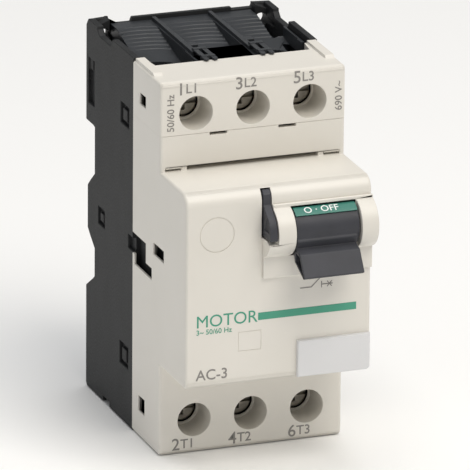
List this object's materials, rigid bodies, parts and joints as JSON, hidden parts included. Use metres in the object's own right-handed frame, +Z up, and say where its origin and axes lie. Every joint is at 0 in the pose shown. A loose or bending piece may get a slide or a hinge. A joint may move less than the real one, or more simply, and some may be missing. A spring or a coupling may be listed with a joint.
{
  "type": "motor protection breaker",
  "caption": "Rail-mounted motor protection breaker with a toggle lever, screw terminals top and bottom, and its switching and tripping parts inside.",
  "frame": {"origin": "centre of the overall footprint at the bottom, on the plane that the casing stands on", "axes": "+Z up along the height, -Y out of the front, +X to the right seen from the front"},
  "size_m": [0.0446, 0.0777, 0.09],
  "materials": {
    "cream_plastic": "finely grained moulded cream plastic",
    "black_plastic": "moulded black plastic, slightly glossy",
    "grey_plastic": "moulded dark grey plastic",
    "green_plastic": "printed green label",
    "white_plastic": "smooth white plastic",
    "brown_plastic": "brown thermoset",
    "steel": "zinc-plated steel",
    "copper": "bare copper strip",
    "enamelled_copper": "enamelled copper wire",
    "fibre_and_steel": "steel plates in vulcanised fibre"
  },
  "bodies": {
    "casing": {"rear_housing": "black_plastic", "front_cover": "cream_plastic", "upper_terminal_cover": "cream_plastic", "upper_wire_guide": "black_plastic", "lower_wire_guide": "black_plastic", "lever_bezel": "cream_plastic", "marker_plate": "white_plastic", "lever_shaft": "steel", "mechanism_bracket": "steel", "rail_latch_spring": "steel", "line_plate_1": "copper", "load_plate_1": "copper", "coil_strip_1": "copper", "trip_coil_1": "enamelled_copper", "coil_yoke_1": "steel", "arc_chute_1": "fibre_and_steel", "line_plate_2": "copper", "load_plate_2": "copper", "coil_strip_2": "copper", "trip_coil_2": "enamelled_copper", "coil_yoke_2": "steel", "arc_chute_2": "fibre_and_steel", "line_plate_3": "copper", "load_plate_3": "copper", "coil_strip_3": "copper", "trip_coil_3": "enamelled_copper", "coil_yoke_3": "steel", "arc_chute_3": "fibre_and_steel"},
    "lever": {"toggle_lever": "grey_plastic", "position_label": "green_plastic"},
    "carrier": {"contact_carrier": "brown_plastic", "moving_contact_1": "copper", "moving_contact_2": "copper", "moving_contact_3": "copper", "contact_spring_1": "steel", "contact_spring_2": "steel", "contact_spring_3": "steel"},
    "trip_bar": {"trip_bar": "brown_plastic"},
    "padlock_slide": {"padlock_slide": "grey_plastic"},
    "rail_latch": {"rail_latch": "black_plastic"},
    "trip_plunger_1": {"trip_plunger_1": "steel"},
    "trip_plunger_2": {"trip_plunger_2": "steel"},
    "trip_plunger_3": {"trip_plunger_3": "steel"},
    "line_screw_1": {"line_screw_1": "steel"},
    "line_clamp_1": {"line_clamp_1": "steel"},
    "line_screw_2": {"line_screw_2": "steel"},
    "line_clamp_2": {"line_clamp_2": "steel"},
    "line_screw_3": {"line_screw_3": "steel"},
    "line_clamp_3": {"line_clamp_3": "steel"},
    "load_screw_1": {"load_screw_1": "steel"},
    "load_clamp_1": {"load_clamp_1": "steel"},
    "load_screw_2": {"load_screw_2": "steel"},
    "load_clamp_2": {"load_clamp_2": "steel"},
    "load_screw_3": {"load_screw_3": "steel"},
    "load_clamp_3": {"load_clamp_3": "steel"}
  },
  "joints": [
    {"name": "lever_throw", "type": "hinge", "parent": "casing", "child": "lever", "pos_m": [0.0103, -0.0287, 0.0577], "axis": [-1, 0, 0], "range_deg": [0, 80]},
    {"name": "carrier_close", "type": "slide", "parent": "casing", "child": "carrier", "axis": [0, 1, 0], "range_m": [0, 0.0024]},
    {"name": "trip_bar_turn", "type": "hinge", "parent": "casing", "child": "trip_bar", "pos_m": [0, -0.0044, 0.037], "axis": [-1, 0, 0], "range_deg": [0, 12], "stiffness_Nm_per_rad": 0.01, "springref_deg": -5.73},
    {"name": "padlock_slide_pull", "type": "slide", "parent": "casing", "child": "padlock_slide", "axis": [0, -1, 0], "range_m": [0, 0.01]},
    {"name": "rail_latch_pull", "type": "slide", "parent": "casing", "child": "rail_latch", "axis": [0, 0, -1], "range_m": [0, 0.005], "stiffness_N_per_m": 400, "springref_m": -0.002, "deforming": ["rail_latch_spring"]},
    {"name": "trip_plunger_1_strike", "type": "slide", "parent": "casing", "child": "trip_plunger_1", "axis": [0, -1, 0], "range_m": [0, 0.0026], "stiffness_N_per_m": 60, "springref_m": -0.0005},
    {"name": "trip_plunger_2_strike", "type": "slide", "parent": "casing", "child": "trip_plunger_2", "axis": [0, -1, 0], "range_m": [0, 0.0026], "stiffness_N_per_m": 60, "springref_m": -0.0005},
    {"name": "trip_plunger_3_strike", "type": "slide", "parent": "casing", "child": "trip_plunger_3", "axis": [0, -1, 0], "range_m": [0, 0.0026], "stiffness_N_per_m": 60, "springref_m": -0.0005},
    {"name": "line_screw_1_turn", "type": "hinge", "parent": "casing", "child": "line_screw_1", "pos_m": [-0.0137, -0.003, 0.0815], "axis": [0, 1, 0], "range_deg": [0, 1543]},
    {"name": "line_clamp_1_draw", "type": "slide", "parent": "casing", "child": "line_clamp_1", "axis": [0, -1, 0], "range_m": [0, 0.003]},
    {"name": "line_screw_2_turn", "type": "hinge", "parent": "casing", "child": "line_screw_2", "pos_m": [0, -0.003, 0.0815], "axis": [0, 1, 0], "range_deg": [0, 1543]},
    {"name": "line_clamp_2_draw", "type": "slide", "parent": "casing", "child": "line_clamp_2", "axis": [0, -1, 0], "range_m": [0, 0.003]},
    {"name": "line_screw_3_turn", "type": "hinge", "parent": "casing", "child": "line_screw_3", "pos_m": [0.0137, -0.003, 0.0815], "axis": [0, 1, 0], "range_deg": [0, 1543]},
    {"name": "line_clamp_3_draw", "type": "slide", "parent": "casing", "child": "line_clamp_3", "axis": [0, -1, 0], "range_m": [0, 0.003]},
    {"name": "load_screw_1_turn", "type": "hinge", "parent": "casing", "child": "load_screw_1", "pos_m": [-0.0137, -0.003, 0.0079], "axis": [0, 1, 0], "range_deg": [0, 1543]},
    {"name": "load_clamp_1_draw", "type": "slide", "parent": "casing", "child": "load_clamp_1", "axis": [0, -1, 0], "range_m": [0, 0.003]},
    {"name": "load_screw_2_turn", "type": "hinge", "parent": "casing", "child": "load_screw_2", "pos_m": [0, -0.003, 0.0079], "axis": [0, 1, 0], "range_deg": [0, 1543]},
    {"name": "load_clamp_2_draw", "type": "slide", "parent": "casing", "child": "load_clamp_2", "axis": [0, -1, 0], "range_m": [0, 0.003]},
    {"name": "load_screw_3_turn", "type": "hinge", "parent": "casing", "child": "load_screw_3", "pos_m": [0.0137, -0.003, 0.0079], "axis": [0, 1, 0], "range_deg": [0, 1543]},
    {"name": "load_clamp_3_draw", "type": "slide", "parent": "casing", "child": "load_clamp_3", "axis": [0, -1, 0], "range_m": [0, 0.003]}
  ],
  "couplings": [
    {"joint": "lever_throw", "follows": "carrier_close", "rad_per_m": 582.07},
    {"joint": "line_screw_1_turn", "follows": "line_clamp_1_draw", "rad_per_m": 8976},
    {"joint": "line_screw_2_turn", "follows": "line_clamp_2_draw", "rad_per_m": 8976},
    {"joint": "line_screw_3_turn", "follows": "line_clamp_3_draw", "rad_per_m": 8976},
    {"joint": "load_screw_1_turn", "follows": "load_clamp_1_draw", "rad_per_m": 8976},
    {"joint": "load_screw_2_turn", "follows": "load_clamp_2_draw", "rad_per_m": 8976},
    {"joint": "load_screw_3_turn", "follows": "load_clamp_3_draw", "rad_per_m": 8976}
  ]
}
